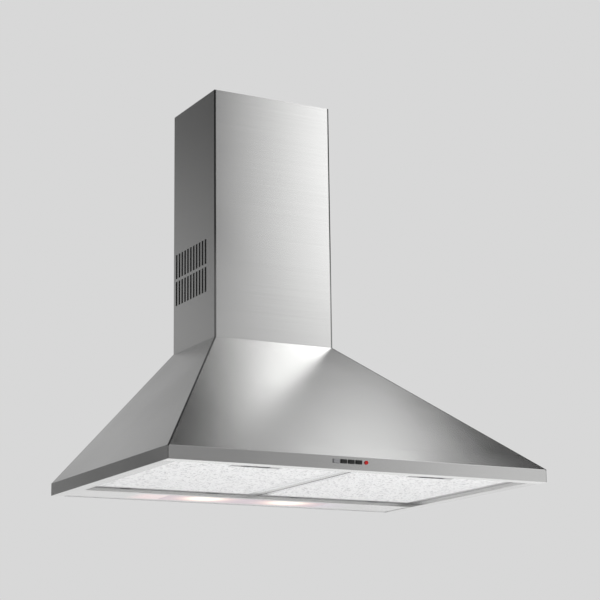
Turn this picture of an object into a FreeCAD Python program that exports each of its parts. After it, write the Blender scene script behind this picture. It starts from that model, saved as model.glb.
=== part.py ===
import FreeCAD, Part
import math
import os
import re
import Sketcher

# Wall-mounted chimney range hood, 750 mm wide, in millimetres.
# Frame: origin at the middle of the rear lower edge, on the wall plane.
# +X to the right, +Y into the wall (the front faces -Y), +Z up.

document = FreeCAD.newDocument("ChimneyRangeHood")
sizes = document.addObject("Spreadsheet::Sheet", "Sizes")

SIZE_TABLE = (
    # Canopy: folded 1 mm steel, a shallow rim under a truncated pyramid.
    ("hood_width", 750),
    ("hood_depth", 525),
    ("hood_height", 780),
    ("rim_height", 23),
    ("canopy_rise", 267),
    ("chimney_width", 253),
    ("chimney_depth", 186),
    ("sheet_gauge", 1),
    ("flange_width", 25),
    ("lip_height", 8),
    ("top_flange", 14),
    ("upstand_height", 15),
    ("upstand_gap", 0.5),
    # Wall fixings in the back panel.
    ("hang_spacing", 260),
    ("hang_height", 235),
    ("hang_radius", 4),
    ("lock_spacing", 500),
    ("lock_height", 60),
    ("lock_radius", 3),
    # Telescopic chimney with two rows of vent slots.
    ("chimney_return", 12),
    ("chimney_gap", 0.8),
    ("upper_bottom", 510),
    ("upper_drop", 2),
    ("vent_width", 7.5),
    ("vent_length", 49),
    ("vent_pitch", 13.2),
    ("vent_count", 11),
    ("vent_first_y", -145),
    ("vent_low_z", 409.5),
    ("vent_row_pitch", 55),
    ("bracket_height", 22),
    ("bracket_reach", 27),
    ("bracket_gauge", 1.2),
    ("bracket_hole_spacing", 120),
    ("bracket_hole_radius", 3),
    ("bracket_low_z", 330),
    ("bracket_drop", 10),
    # Outlet collar for 120 mm duct, with two non-return flaps.
    ("duct_y", -93),
    ("collar_radius", 59.5),
    ("collar_wall", 2),
    ("collar_height", 46),
    ("collar_base_radius", 76),
    ("collar_base_height", 2.5),
    ("collar_screw_reach", 66),
    ("spindle_z", 310),
    ("spindle_radius", 1.55),
    ("flap_radius", 56),
    ("flap_bore", 1.6),
    ("flap_knuckle", 2.6),
    ("flap_gauge", 1),
    # Blower: scroll housing about the fan axis, which runs along X.
    ("fan_y", -138),
    ("fan_z", 165),
    ("scroll_start", 74),
    ("scroll_step", 12),
    ("scroll_wall", 2),
    ("scroll_half", 62),
    ("outlet_front_y", -152),
    ("outlet_flange", 12),
    ("outlet_flange_gauge", 3),
    ("inlet_radius", 50),
    ("plate_half", 122),
    ("plate_front_y", -180),
    ("plate_rear_y", -4),
    ("plate_screw_x", 117.5),
    ("plate_screw_front", -166),
    ("plate_screw_rear", -20),
    ("plate_screw_hole", 2.3),
    ("pilot_hole", 1.65),
    # Fan wheel with forward-curved blades, and its motor.
    ("wheel_half", 55),
    ("wheel_radius", 64),
    ("blade_inner", 52),
    ("blade_tip", 62.6),
    ("blade_knee", 58.2),
    ("blade_knee_sweep", 0.7),
    ("blade_sweep", 5.2),
    ("blade_gauge", 0.8),
    ("blade_count", 30),
    ("ring_width", 12.5),
    ("wheel_disc", 2),
    ("hub_radius", 10),
    ("hub_length", 16),
    ("shaft_radius", 4),
    ("shaft_length", 52),
    ("shaft_bore", 4.05),
    ("motor_radius", 40),
    ("motor_start", 13),
    ("motor_end", 90),
    ("motor_boss_length", 6),
    ("spider_gauge", 2),
    ("spider_margin", 6),
    ("spider_arm_width", 12),
    ("spider_screw_reach", 61),
    # Electrics on the back panel.
    ("capacitor_length", 55),
    ("capacitor_depth", 26),
    ("capacitor_height", 34),
    ("capacitor_x", 130),
    ("capacitor_z", 120),
    ("clip_offset", 20),
    ("clip_width", 12),
    ("clip_ear", 14),
    ("box_left", -230),
    ("box_right", -140),
    ("box_low", 110),
    ("box_high", 170),
    ("box_depth", 40),
    ("box_wall", 2),
    ("boss_inset", 7),
    ("boss_side", 12),
    ("lid_gauge", 2),
    ("gland_thread", 8.6),
    ("gland_bore", 4),
    # Light strip along the rear of the underside.
    ("strip_depth", 96),
    ("strip_front_height", 22),
    ("strip_rear_height", 16),
    ("lamp_length", 340),
    ("lamp_width", 62),
    ("lamp_y", -52),
    ("lamp_gap", 0.4),
    ("lamp_lap", 5),
    ("tray_margin", 6),
    ("tray_height", 40),
    ("holder_side", 26),
    ("holder_bore", 8),
    ("bulb_y", -55),
    ("bulb_z", 22),
    ("bulb_radius", 15),
    ("bulb_tip_x", 53),
    ("bulb_neck_x", 124),
    ("bulb_cap_radius", 7.5),
    ("bulb_cap_length", 34),
    # Two grease filters on either side of a middle rail.
    ("rail_width", 14),
    ("rail_height", 14),
    ("filter_inner_x", 8.5),
    ("filter_outer_x", 349),
    ("filter_front_y", -498),
    ("filter_rear_y", -98.5),
    ("filter_low_z", 7.5),
    ("filter_thickness", 9),
    ("filter_border", 12),
    ("filter_skin", 0.8),
    ("pleat_count", 28),
    ("pleat_gauge", 1.4),
    ("tab_width", 20),
    ("tab_length", 9),
    ("tab_inner_x", 90),
    ("tab_outer_x", 265),
    # Spring latch at each filter's front edge.
    ("latch_x", 176),
    ("latch_y", -455),
    ("latch_half", 28),
    ("latch_front", 17),
    ("latch_rear", 9),
    ("tongue_half", 12),
    ("tongue_reach", 1.6),
    ("well_half", 26),
    ("well_depth", 14),
    ("well_wall", 1.5),
    ("window_half", 27),
    ("latch_plate_half", 48),
    ("latch_plate_depth", 60),
    ("latch_plate_gauge", 1),
    ("guide_gap", 0.4),
    ("guide_gauge", 2.6),
    ("guide_overhang", 1.9),
    ("guide_height", 4.1),
    # Push buttons and pilot lamp in the front rim.
    ("button_first_x", -63.4),
    ("button_pitch", 14.8),
    ("button_width", 11.4),
    ("button_height", 6.4),
    ("button_stand", 3),
    ("button_length", 15),
    ("button_chamfer", 0.8),
    ("button_z", 14),
    ("button_gap", 0.5),
    ("pilot_x", -4.2),
    ("pilot_radius", 3.25),
    ("pilot_stand", 2),
    ("pilot_length", 14),
    ("switch_left", -75),
    ("switch_right", 5),
    ("switch_low", 2),
    ("switch_high", 21),
    ("switch_depth", 21),
    ("switch_well", 17),
)

for row, (alias, amount) in enumerate(SIZE_TABLE, start=1):
    sizes.set(f"A{row}", alias.replace("_", " "))
    sizes.set(f"B{row}", str(amount))
    sizes.setAlias(f"B{row}", alias)
document.recompute()

ALIASES = {alias for alias, amount in SIZE_TABLE}
WORD = re.compile(r"[a-z][a-z_]*")

# World axis that each sketch plane faces, and the sign of its normal along it.
PLANE_NORMAL = {"XY": 1, "XZ": -1, "YZ": 1}

nodes = []


# ---------------------------------------------------------------- helpers

def bound(rule):
    """The rule as an expression over the size sheet."""
    return WORD.sub(
        lambda word: f"Sizes.{word.group()}" if word.group() in ALIASES else word.group(),
        str(rule),
    )


def value(rule):
    """The rule's present amount."""
    return float(sizes.evalExpression(str(rule)))


def new_body(label):
    body = document.addObject("PartDesign::Body", label)
    body.Label = label
    nodes.append(body)
    return body


def origin_of(body, role):
    return next(item for item in body.Origin.OriginFeatures if item.Role == role)


def new_sketch(body, plane, level):
    """A sketch parallel to one of the body's origin planes, at a level along its axis."""
    sketch = body.newObject("Sketcher::SketchObject", f"{body.Name}_sketch")
    sketch.AttachmentSupport = [(origin_of(body, f"{plane}_Plane"), "")]
    sketch.MapMode = "FlatFace"
    sketch.setExpression(".AttachmentOffset.Base.z", bound(f"{PLANE_NORMAL[plane]} * ({level})"))
    return sketch


def pin_point(sketch, geometry, position, across, up):
    """Fixes a point of the sketch at a distance across and up from its origin."""
    for kind, rule in (("DistanceX", across), ("DistanceY", up)):
        index = sketch.addConstraint(Sketcher.Constraint(kind, geometry, position, value(rule)))
        sketch.setExpression(f"Constraints[{index}]", bound(rule))


def pin_radius(sketch, geometry, rule):
    index = sketch.addConstraint(Sketcher.Constraint("Radius", geometry, value(rule)))
    sketch.setExpression(f"Constraints[{index}]", bound(rule))


def arc_between(start, stop, radius, turn):
    """The short arc from start to stop that turns left (1) or right (-1)."""
    chord = stop - start
    rise = math.sqrt(radius ** 2 - chord.Length ** 2 / 4)
    left = FreeCAD.Vector(-chord.y, chord.x, 0).normalize()
    centre = (start + stop) / 2 + left * rise * turn
    first, last = (start, stop) if turn > 0 else (stop, start)
    circle = Part.Circle(centre, FreeCAD.Vector(0, 0, 1), radius)
    angles = [math.atan2(point.y - centre.y, point.x - centre.x) for point in (first, last)]
    return Part.ArcOfCircle(circle, angles[0], angles[1])


def outline(corners, arcs=None):
    """A closed outline; arcs maps a side's number to its radius and turn."""
    arcs = arcs or {}

    def draw(sketch):
        points = [FreeCAD.Vector(value(across), value(up), 0) for across, up in corners]
        sides = []
        for number, start in enumerate(points):
            stop = points[(number + 1) % len(points)]
            if number in arcs:
                radius, turn = arcs[number]
                geometry = sketch.addGeometry(arc_between(start, stop, value(radius), turn), False)
                pin_radius(sketch, geometry, radius)
                ends = (1, 2) if turn > 0 else (2, 1)
            else:
                geometry = sketch.addGeometry(Part.LineSegment(start, stop), False)
                ends = (1, 2)
            sides.append((geometry, ends))
        for number, (geometry, ends) in enumerate(sides):
            following, following_ends = sides[(number + 1) % len(sides)]
            sketch.addConstraint(
                Sketcher.Constraint("Coincident", geometry, ends[1], following, following_ends[0])
            )
            pin_point(sketch, geometry, ends[0], *corners[number])

    return draw


def rectangle(left, right, low, high):
    return outline([(left, low), (right, low), (right, high), (left, high)])


def box_about(across, up, width, height):
    """A rectangle given by its middle."""
    return rectangle(
        f"{across} - ({width}) / 2", f"{across} + ({width}) / 2",
        f"{up} - ({height}) / 2", f"{up} + ({height}) / 2",
    )


def circle(across, up, radius):
    def draw(sketch):
        centre = FreeCAD.Vector(value(across), value(up), 0)
        ring = Part.Circle(centre, FreeCAD.Vector(0, 0, 1), value(radius))
        geometry = sketch.addGeometry(ring, False)
        pin_point(sketch, geometry, 3, across, up)
        pin_radius(sketch, geometry, radius)

    return draw


def polygon(across, up, radius, sides):
    """A regular outline with its corners on a circle and a flat side at the bottom."""
    angles = [math.radians(360 * (number + 0.5) / sides - 90) for number in range(sides)]
    return outline([
        (f"{across} + ({radius}) * {math.cos(angle):.6f}", f"{up} + ({radius}) * {math.sin(angle):.6f}")
        for angle in angles
    ])


def swept(body, kind, plane, start, stop, *drawings):
    """Pads or pockets the drawings between two levels along the plane's axis."""
    sketch = new_sketch(body, plane, start)
    for draw in drawings:
        draw(sketch)
    feature = body.newObject(f"PartDesign::{kind}", f"{body.Name}_{kind.lower()}")
    feature.Profile = sketch
    along_normal = (value(stop) - value(start)) * PLANE_NORMAL[plane] > 0
    feature.Reversed = along_normal if kind == "Pocket" else not along_normal
    feature.setExpression("Length", bound(f"abs(({stop}) - ({start}))"))
    return feature


def pad(body, plane, start, stop, *drawings):
    return swept(body, "Pad", plane, start, stop, *drawings)


def pocket(body, plane, start, stop, *drawings):
    return swept(body, "Pocket", plane, start, stop, *drawings)


def pyramid(body, kind, low, high, bottom, top):
    """Adds or cuts a block with sloping sides; bottom and top are (half width, front, rear)."""
    block = body.newObject(f"PartDesign::{kind}Wedge", f"{body.Name}_pyramid")
    block.AttachmentSupport = [(origin_of(body, "XZ_Plane"), "")]
    block.MapMode = "FlatFace"
    rules = {"Ymin": low, "Ymax": high}
    for ending, (half, front, rear) in (("", bottom), ("2", top)):
        rules |= {f"X{ending}min": f"-({half})", f"X{ending}max": half,
                  f"Z{ending}min": f"-({rear})", f"Z{ending}max": f"-({front})"}
    for name, rule in rules.items():
        setattr(block, name, value(rule))
        block.setExpression(name, bound(rule))
    return block


def around_x(body, originals, count):
    """Repeats features round the body's own X axis."""
    feature = body.newObject("PartDesign::PolarPattern", f"{body.Name}_ring")
    feature.Originals = originals
    feature.Axis = (origin_of(body, "X_Axis"), [""])
    feature.Angle = 360
    feature.setExpression("Occurrences", bound(count))
    body.Tip = feature
    return feature


def place(thing, across, along, up, turn=0):
    """Puts an object at a point, turned about the vertical."""
    thing.Placement = FreeCAD.Placement(
        FreeCAD.Vector(value(across), value(along), value(up)),
        FreeCAD.Rotation(FreeCAD.Vector(0, 0, 1), turn),
    )
    for letter, rule in (("x", across), ("y", along), ("z", up)):
        thing.setExpression(f".Placement.Base.{letter}", bound(rule))


# Each direction's turn from the cylinder's own +Z, and its step in X, Y and Z.
DIRECTIONS = {
    "+X": (FreeCAD.Rotation(FreeCAD.Vector(0, 1, 0), 90), (1, 0, 0)),
    "-X": (FreeCAD.Rotation(FreeCAD.Vector(0, 1, 0), -90), (-1, 0, 0)),
    "+Y": (FreeCAD.Rotation(FreeCAD.Vector(1, 0, 0), -90), (0, 1, 0)),
    "-Z": (FreeCAD.Rotation(FreeCAD.Vector(1, 0, 0), 180), (0, 0, -1)),
}


def rod(name, radius, length, start, direction, sides=0):
    """A round bar, or one with flat sides, that starts at a point and runs in a direction."""
    bar = document.addObject("Part::Prism" if sides else "Part::Cylinder", name)
    if sides:
        bar.Polygon = sides
    bar.setExpression("Circumradius" if sides else "Radius", bound(radius))
    bar.setExpression("Height", bound(length))
    bar.Placement = FreeCAD.Placement(FreeCAD.Vector(), DIRECTIONS[direction][0])
    for letter, rule in zip("xyz", start):
        bar.setExpression(f".Placement.Base.{letter}", bound(rule))
    return bar


def screw_set(label, direction, seats, head, shank):
    """Alike hexagon-head screws; a seat lies under the head, head and shank are (radius, length)."""
    screws = []
    for number, seat in enumerate(seats):
        top = [f"({rule}) - {step} * {head[1]}" for rule, step in zip(seat, DIRECTIONS[direction][1])]
        screw = document.addObject("Part::Fuse", f"{label}_{number}")
        screw.Base = rod(f"{label}_head_{number}", head[0], head[1], top, direction, 6)
        screw.Tool = rod(f"{label}_shank_{number}", shank[0], shank[1], seat, direction, 8)
        screws.append(screw)
    group = document.addObject("Part::Compound", label)
    group.Label = label
    group.Links = screws
    nodes.append(group)


# ---------------------------------------------------------------- canopy

SIDE_RUN = "(hood_width - chimney_width) / 2"
FRONT_RUN = "(hood_depth - chimney_depth)"
# Horizontal thickness of the sloping walls, so that the sheet keeps its gauge.
SIDE_SKIN = f"sheet_gauge * sqrt(canopy_rise ^ 2 + ({SIDE_RUN}) ^ 2) / canopy_rise"
FRONT_SKIN = f"sheet_gauge * sqrt(canopy_rise ^ 2 + {FRONT_RUN} ^ 2) / canopy_rise"
CANOPY_TOP = "rim_height + canopy_rise"
CAVITY_TOP = f"{CANOPY_TOP} - sheet_gauge"
REST = "sheet_gauge / canopy_rise"
CAVITY_HALF_LOW = f"hood_width / 2 - {SIDE_SKIN}"
CAVITY_HALF_TOP = f"chimney_width / 2 - {SIDE_SKIN} + ({SIDE_RUN}) * {REST}"
CAVITY_FRONT_LOW = f"-hood_depth + {FRONT_SKIN}"
CAVITY_FRONT_TOP = f"-chimney_depth + {FRONT_SKIN} - {FRONT_RUN} * {REST}"
OPENING_HALF = "(hood_width / 2 - flange_width)"
OPENING_FRONT = "(hood_depth - flange_width)"


def folded_channel(half, front, rear, wall):
    """Plan of a sheet folded round three sides and open at the rear."""
    return outline([
        (f"-({half})", rear), (f"-({half})", front), (half, front), (half, rear),
        (f"{half} - {wall}", rear), (f"{half} - {wall}", f"{front} + {wall}"),
        (f"-({half}) + {wall}", f"{front} + {wall}"), (f"-({half}) + {wall}", rear),
    ])


# The shell is hollow and open below and behind. Its lower edge turns in as
# a flange with an upright lip, and its top turns in under the chimney.
shell = new_body("canopy_shell")
pad(shell, "XY", "0", "rim_height", rectangle("-hood_width / 2", "hood_width / 2", "-hood_depth", "0"))
pyramid(shell, "Additive", "rim_height", CANOPY_TOP,
        ("hood_width / 2", "-hood_depth", "0"), ("chimney_width / 2", "-chimney_depth", "0"))
pyramid(shell, "Subtractive", "rim_height", CAVITY_TOP,
        (CAVITY_HALF_LOW, CAVITY_FRONT_LOW, "1"), (CAVITY_HALF_TOP, CAVITY_FRONT_TOP, "1"))
pocket(shell, "XY", "sheet_gauge", "rim_height",
       rectangle("-hood_width / 2 + sheet_gauge", "hood_width / 2 - sheet_gauge",
                 "-hood_depth + sheet_gauge", "1"))
pocket(shell, "XY", "-1", "sheet_gauge",
       rectangle(f"-{OPENING_HALF}", OPENING_HALF, f"-{OPENING_FRONT}", "1"))
pad(shell, "XY", "0", "lip_height",
    folded_channel(f"{OPENING_HALF} + sheet_gauge", f"-{OPENING_FRONT} - sheet_gauge",
                   "-sheet_gauge", "sheet_gauge"))
pocket(shell, "XY", f"{CAVITY_TOP} - 1", f"{CANOPY_TOP} + 1",
       rectangle("-chimney_width / 2 + top_flange", "chimney_width / 2 - top_flange",
                 "-chimney_depth + top_flange", "-top_flange"))
pad(shell, "XY", f"{CANOPY_TOP} - sheet_gauge / 2", f"{CANOPY_TOP} + upstand_height",
    folded_channel("chimney_width / 2 - sheet_gauge - upstand_gap",
                   "-chimney_depth + sheet_gauge + upstand_gap",
                   "-2 * sheet_gauge", "sheet_gauge"))
pocket(shell, "XY", f"{CAVITY_TOP} - 1", f"{CANOPY_TOP} + 1", *[
    polygon(f"{side} * plate_screw_x", along, "plate_screw_hole", 8)
    for side in (-1, 1) for along in ("plate_screw_front", "plate_screw_rear")
])
# Windows for the four push buttons and a round hole for the pilot lamp.
pocket(shell, "XZ", "-hood_depth - 1", "-hood_depth + 2 * sheet_gauge", *[
    box_about(f"(button_first_x + {step} * button_pitch)", "button_z",
              "button_width + 2 * button_gap", "button_height + 2 * button_gap")
    for step in range(4)
], circle("pilot_x", "button_z", "pilot_radius + 0.25"))

# The back panel closes the canopy against the wall and carries its fixings.
back = new_body("back_panel")
pad(back, "XZ", "-sheet_gauge", "0", outline([
    (f"-{OPENING_HALF}", "0"), (OPENING_HALF, "0"), (OPENING_HALF, "sheet_gauge"),
    ("hood_width / 2 - sheet_gauge", "sheet_gauge"), (CAVITY_HALF_LOW, "rim_height"),
    (CAVITY_HALF_TOP, CAVITY_TOP), (f"-({CAVITY_HALF_TOP})", CAVITY_TOP),
    (f"-({CAVITY_HALF_LOW})", "rim_height"), ("-hood_width / 2 + sheet_gauge", "sheet_gauge"),
    (f"-{OPENING_HALF}", "sheet_gauge"),
]))
pocket(back, "XZ", "-2 * sheet_gauge", "1", *[
    circle(f"{side} * {spacing} / 2", height, radius)
    for side in (-1, 1)
    for spacing, height, radius in (
        ("hang_spacing", "hang_height", "hang_radius"), ("lock_spacing", "lock_height", "lock_radius"),
    )
])

# ---------------------------------------------------------------- chimney


def chimney_channel(label, half, front, rear, low, high):
    """A sheet channel with returns along its two rear edges."""
    body = new_body(label)
    inner = f"({half} - sheet_gauge)"
    returned = f"({half} - chimney_return)"
    fold = f"({rear} - sheet_gauge)"
    pad(body, "XY", low, high, outline([
        (f"-({half})", rear), (f"-({half})", front), (half, front), (half, rear),
        (returned, rear), (returned, fold), (inner, fold), (inner, f"{front} + sheet_gauge"),
        (f"-{inner}", f"{front} + sheet_gauge"), (f"-{inner}", fold),
        (f"-{returned}", fold), (f"-{returned}", rear),
    ]))
    return body


lower = chimney_channel("chimney_lower", "chimney_width / 2", "-chimney_depth", "0",
                        CANOPY_TOP, "hood_height")
first_vent = pocket(lower, "YZ", "-chimney_width / 2 - 1", "chimney_width / 2 + 1",
                    box_about("vent_first_y", "vent_low_z", "vent_width", "vent_length"))
vents = lower.newObject("PartDesign::LinearPattern", "chimney_vents")
vents.Originals = [first_vent]
vents.Direction = (origin_of(lower, "Y_Axis"), [""])
vents.setExpression("Length", bound("vent_pitch * (vent_count - 1)"))
vents.setExpression("Occurrences", bound("vent_count"))
vents.Direction2 = (origin_of(lower, "Z_Axis"), [""])
vents.setExpression("Length2", bound("vent_row_pitch"))
vents.Occurrences2 = 2
lower.Tip = vents

UPPER_HALF = "(chimney_width / 2 - sheet_gauge - chimney_gap)"
UPPER_REAR = "(-sheet_gauge - chimney_gap)"
UPPER_TOP = "(hood_height - upper_drop)"
chimney_channel("chimney_upper", UPPER_HALF, "-chimney_depth + sheet_gauge + chimney_gap", UPPER_REAR,
                "upper_bottom", UPPER_TOP)


def wall_bracket(label, half, rear, low):
    """A strip on the wall with an ear along each side of the chimney."""
    body = new_body(label)
    ear = f"({half} - bracket_gauge)"
    strip = f"({rear} - bracket_gauge)"
    tip = f"({rear} - bracket_reach)"
    pad(body, "XY", low, f"{low} + bracket_height", outline([
        (f"-({half})", rear), (f"-({half})", tip), (f"-{ear}", tip), (f"-{ear}", strip),
        (ear, strip), (ear, tip), (half, tip), (half, rear),
    ]))
    pocket(body, "XZ", f"{strip} - 1", f"{rear} + 1", *[
        circle(f"{side} * bracket_hole_spacing / 2", f"{low} + bracket_height / 2", "bracket_hole_radius")
        for side in (-1, 1)
    ])


wall_bracket("chimney_bracket_lower", "chimney_width / 2 - sheet_gauge", "-sheet_gauge", "bracket_low_z")
wall_bracket("chimney_bracket_upper", f"{UPPER_HALF} - sheet_gauge", f"{UPPER_REAR} - sheet_gauge",
             f"{UPPER_TOP} - bracket_height - bracket_drop")

# ---------------------------------------------------------------- air outlet

PLATE_TOP = CAVITY_TOP
PLATE_LOW = f"({CAVITY_TOP} - sheet_gauge)"
COLLAR_BORE = "collar_radius - collar_wall"
COLLAR_SCREWS = [
    (f"{side} * collar_screw_reach * sqrt(2) / 2", f"duct_y + {end} * collar_screw_reach * sqrt(2) / 2")
    for side in (-1, 1) for end in (-1, 1)
]

plate = new_body("blower_plate")
pad(plate, "XY", PLATE_LOW, PLATE_TOP,
    rectangle("-plate_half", "plate_half", "plate_front_y", "plate_rear_y"),
    circle("0", "duct_y", COLLAR_BORE),
    *[polygon(across, along, "pilot_hole", 8) for across, along in COLLAR_SCREWS],
    *[polygon(f"{side} * plate_screw_x", along, "plate_screw_hole", 8)
      for side in (-1, 1) for along in ("plate_screw_front", "plate_screw_rear")])

collar = new_body("outlet_collar")
pad(collar, "XY", PLATE_TOP, f"{PLATE_TOP} + collar_base_height",
    polygon("0", "duct_y", "collar_base_radius", 8), circle("0", "duct_y", COLLAR_BORE),
    *[polygon(across, along, "pilot_hole", 8) for across, along in COLLAR_SCREWS])
pad(collar, "XY", f"{PLATE_TOP} + 1", f"{PLATE_TOP} + collar_height",
    circle("0", "duct_y", "collar_radius"), circle("0", "duct_y", COLLAR_BORE))

screw_set("blower_screws", "-Z", [
    (f"{side} * plate_screw_x", along, CANOPY_TOP)
    for side in (-1, 1) for along in ("plate_screw_front", "plate_screw_rear")
], head=(4.2, 3), shank=(2, 7))
screw_set("collar_screws", "-Z", [
    (across, along, f"{PLATE_TOP} + collar_base_height") for across, along in COLLAR_SCREWS
], head=(2.8, 2), shank=(1.4, 5))

spindle = rod("flap_spindle", "spindle_radius", f"2 * ({COLLAR_BORE})",
              (f"-({COLLAR_BORE})", "duct_y", "spindle_z"), "+X")
spindle.Label = "flap_spindle"
nodes.append(spindle)


def non_return_flap(label, side, knuckles):
    """A half-disc leaf hung on the spindle; side is -1 for the front leaf."""
    body = new_body(label)
    first = math.degrees(math.asin((value("flap_knuckle") + 0.8) / value("flap_radius")))
    chords = 10
    angles = [math.radians(first + (180 - 2 * first) * step / chords) for step in range(chords + 1)]
    pad(body, "XY", "-flap_gauge / 2", "flap_gauge / 2", outline([
        (f"flap_radius * {math.cos(angle):.6f}", f"{side} * flap_radius * {math.sin(angle):.6f}")
        for angle in angles
    ]))
    for start, stop in knuckles:
        pad(body, "XY", "-flap_gauge / 2", "flap_gauge / 2",
            rectangle(start, stop, f"{side} * (flap_bore + 0.4)", f"{side} * (flap_knuckle + 1.2)"))
        pad(body, "YZ", start, stop, polygon("0", "0", "flap_knuckle", 8), circle("0", "0", "flap_bore"))
    place(body, "0", "duct_y", "spindle_z")


non_return_flap("flap_front", -1, [("-50", "-22"), ("22", "50")])
non_return_flap("flap_rear", 1, [("-20", "20")])

# ---------------------------------------------------------------- blower

SCROLL_REAR = "(fan_y + 2.5 * scroll_step + scroll_start)"


def scroll_section(grow, top):
    """The three-centre scroll: its radius grows by one step each quarter turn."""
    front = f"(outlet_front_y - {grow})"
    quarter = [f"(scroll_start + {step} * scroll_step + {grow})" for step in range(3)]
    low_y, high_y = "(fan_y - scroll_step / 2)", "(fan_y + scroll_step / 2)"
    low_z, high_z = "(fan_z - scroll_step / 2)", "(fan_z + scroll_step / 2)"
    tongue = f"{low_z} + sqrt({quarter[0]} ^ 2 - ({front} - {low_y}) ^ 2)"
    return outline([
        (front, top), (front, tongue), (f"{low_y} - {quarter[0]}", low_z),
        (high_y, f"{low_z} - {quarter[1]}"), (f"{high_y} + {quarter[2]}", high_z),
        (f"{high_y} + {quarter[2]}", top),
    ], {1: (quarter[0], 1), 2: (quarter[1], 1), 3: (quarter[2], 1)})


SPIDER_SCREWS = [
    (f"fan_y + spider_screw_reach * {math.cos(angle):.6f}",
     f"fan_z + spider_screw_reach * {math.sin(angle):.6f}")
    for angle in (math.radians(90), math.radians(210), math.radians(330))
]
INNER_HALF = "(scroll_half - scroll_wall)"

housing = new_body("blower_housing")
pad(housing, "YZ", "-scroll_half", "scroll_half", scroll_section("scroll_wall", PLATE_LOW))
pad(housing, "XY", f"{PLATE_LOW} - outlet_flange_gauge", PLATE_LOW,
    rectangle("-scroll_half - outlet_flange", "scroll_half + outlet_flange",
              "outlet_front_y - scroll_wall - outlet_flange",
              f"{SCROLL_REAR} + scroll_wall + outlet_flange"))
pocket(housing, "YZ", f"-{INNER_HALF}", INNER_HALF, scroll_section("0", f"{PLATE_LOW} + 1"))
pocket(housing, "YZ", "-scroll_half - 1", "scroll_half + 1", circle("fan_y", "fan_z", "inlet_radius"))
pocket(housing, "YZ", f"{INNER_HALF} - 1", "scroll_half + 1",
       *[polygon(along, up, "pilot_hole", 8) for along, up in SPIDER_SCREWS])

# Squirrel-cage wheel about its own X axis: a middle disc, forward-curved
# blades swept towards the turning direction, two end rings and a hub.
wheel = new_body("impeller")
blades = int(value("blade_count"))
pad(wheel, "YZ", "-wheel_disc / 2", "wheel_disc / 2", polygon("0", "0", "wheel_radius", blades))
blade = pad(wheel, "YZ", "-wheel_half", "wheel_half", outline([
    ("blade_inner", "-blade_gauge / 2"), ("blade_knee", "blade_knee_sweep - blade_gauge / 2"),
    ("blade_tip", "blade_sweep"),
    ("blade_tip - blade_gauge * 0.75", "blade_sweep + blade_gauge * 0.75"),
    ("blade_knee - blade_gauge / 2", "blade_knee_sweep + blade_gauge / 2"),
    ("blade_inner", "blade_gauge / 2"),
]))
around_x(wheel, [blade], "blade_count")
for near, far in (("wheel_half - wheel_disc", "wheel_half"), ("-wheel_half", "-wheel_half + wheel_disc")):
    pad(wheel, "YZ", near, far, *[
        polygon("0", "0", radius, blades) for radius in ("wheel_radius", "wheel_radius - ring_width")
    ])
pad(wheel, "YZ", "-hub_length", "0", polygon("0", "0", "hub_radius", 8))
pocket(wheel, "YZ", "-hub_length - 1", "wheel_disc", circle("0", "0", "shaft_radius"))
place(wheel, "0", "fan_y", "fan_z")

shaft = rod("motor_shaft", "shaft_radius", "shaft_length", ("-hub_length", "fan_y", "fan_z"), "+X")
shaft.Label = "motor_shaft"
nodes.append(shaft)

motor = new_body("motor_body")
pad(motor, "YZ", "motor_start", "motor_end", circle("0", "0", "motor_radius"))
pad(motor, "YZ", "motor_end - 1", "motor_end + motor_boss_length",
    polygon("0", "0", "motor_radius / 3", 12))
pocket(motor, "YZ", "motor_start - 1", "shaft_length - hub_length + 2", circle("0", "0", "shaft_bore"))
place(motor, "0", "fan_y", "fan_z")

# Three-armed spider that hangs the motor in the right-hand inlet.
spider = new_body("motor_bracket")
SPIDER_HIGH = "(scroll_half + spider_gauge)"
pad(spider, "YZ", "scroll_half", SPIDER_HIGH, polygon("0", "0", "motor_radius + spider_margin", 12))
arm = pad(spider, "YZ", "scroll_half", SPIDER_HIGH,
          rectangle("-spider_arm_width / 2", "spider_arm_width / 2",
                    "motor_radius + 2", "spider_screw_reach + spider_margin"))
hole = pocket(spider, "YZ", "scroll_half - 1", f"{SPIDER_HIGH} + 1",
              polygon("0", "spider_screw_reach", "pilot_hole", 8))
around_x(spider, [arm, hole], "3")
pocket(spider, "YZ", "scroll_half - 1", f"{SPIDER_HIGH} + 1",
       polygon("0", "0", "motor_radius * 1.01", 24))
place(spider, "0", "fan_y", "fan_z")
screw_set("motor_screws", "-X", [
    (SPIDER_HIGH, along, up) for along, up in SPIDER_SCREWS
], head=(3.4, 2), shank=(1.5, 6))

# ---------------------------------------------------------------- electrics

CAPACITOR_LOW = "(capacitor_z - capacitor_height / 2)"
CAPACITOR_HIGH = "(capacitor_z + capacitor_height / 2)"
CAPACITOR_FRONT = "(-sheet_gauge - capacitor_depth)"
capacitor = new_body("capacitor")
pad(capacitor, "XZ", "-sheet_gauge", CAPACITOR_FRONT,
    rectangle("capacitor_x", "capacitor_x + capacitor_length", CAPACITOR_LOW, CAPACITOR_HIGH))

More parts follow.
